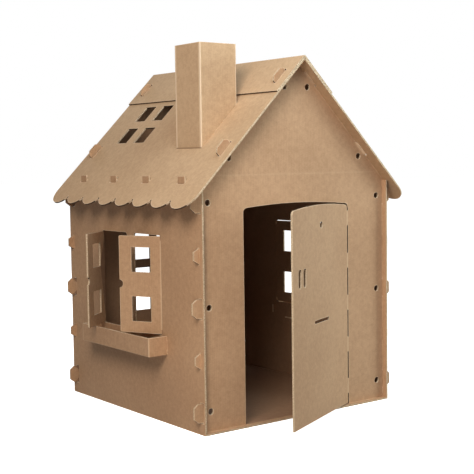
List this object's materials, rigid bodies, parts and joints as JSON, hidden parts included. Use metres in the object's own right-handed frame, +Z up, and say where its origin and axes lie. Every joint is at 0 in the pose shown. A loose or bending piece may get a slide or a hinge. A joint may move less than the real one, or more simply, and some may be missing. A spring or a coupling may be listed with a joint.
{
  "type": "cardboard playhouse",
  "caption": "Child's cardboard playhouse of slotted boards: gabled front with a swung door, shuttered side window with flower box, scalloped roof with skylight, ridge cap and square chimney.",
  "frame": {"origin": "on the ground under the middle of the house body, midway between the side walls and midway along them", "axes": "+Z up, -Y out of the front with the door, -X out of the side wall below the chimney"},
  "size_m": [1.1248, 1.1828, 1.398],
  "materials": {
    "kraft_board": "plain brown kraft liner, matte"
  },
  "bodies": {
    "root": {"floor_sheet": "kraft_board", "left_side_wall": "kraft_board", "right_side_wall": "kraft_board", "front_gable_wall": "kraft_board", "back_gable_wall": "kraft_board", "left_roof_panel": "kraft_board", "right_roof_panel": "kraft_board", "ridge_cap": "kraft_board", "chimney": "kraft_board", "left_flower_box": "kraft_board", "right_flower_box": "kraft_board"}
  },
  "joints": []
}
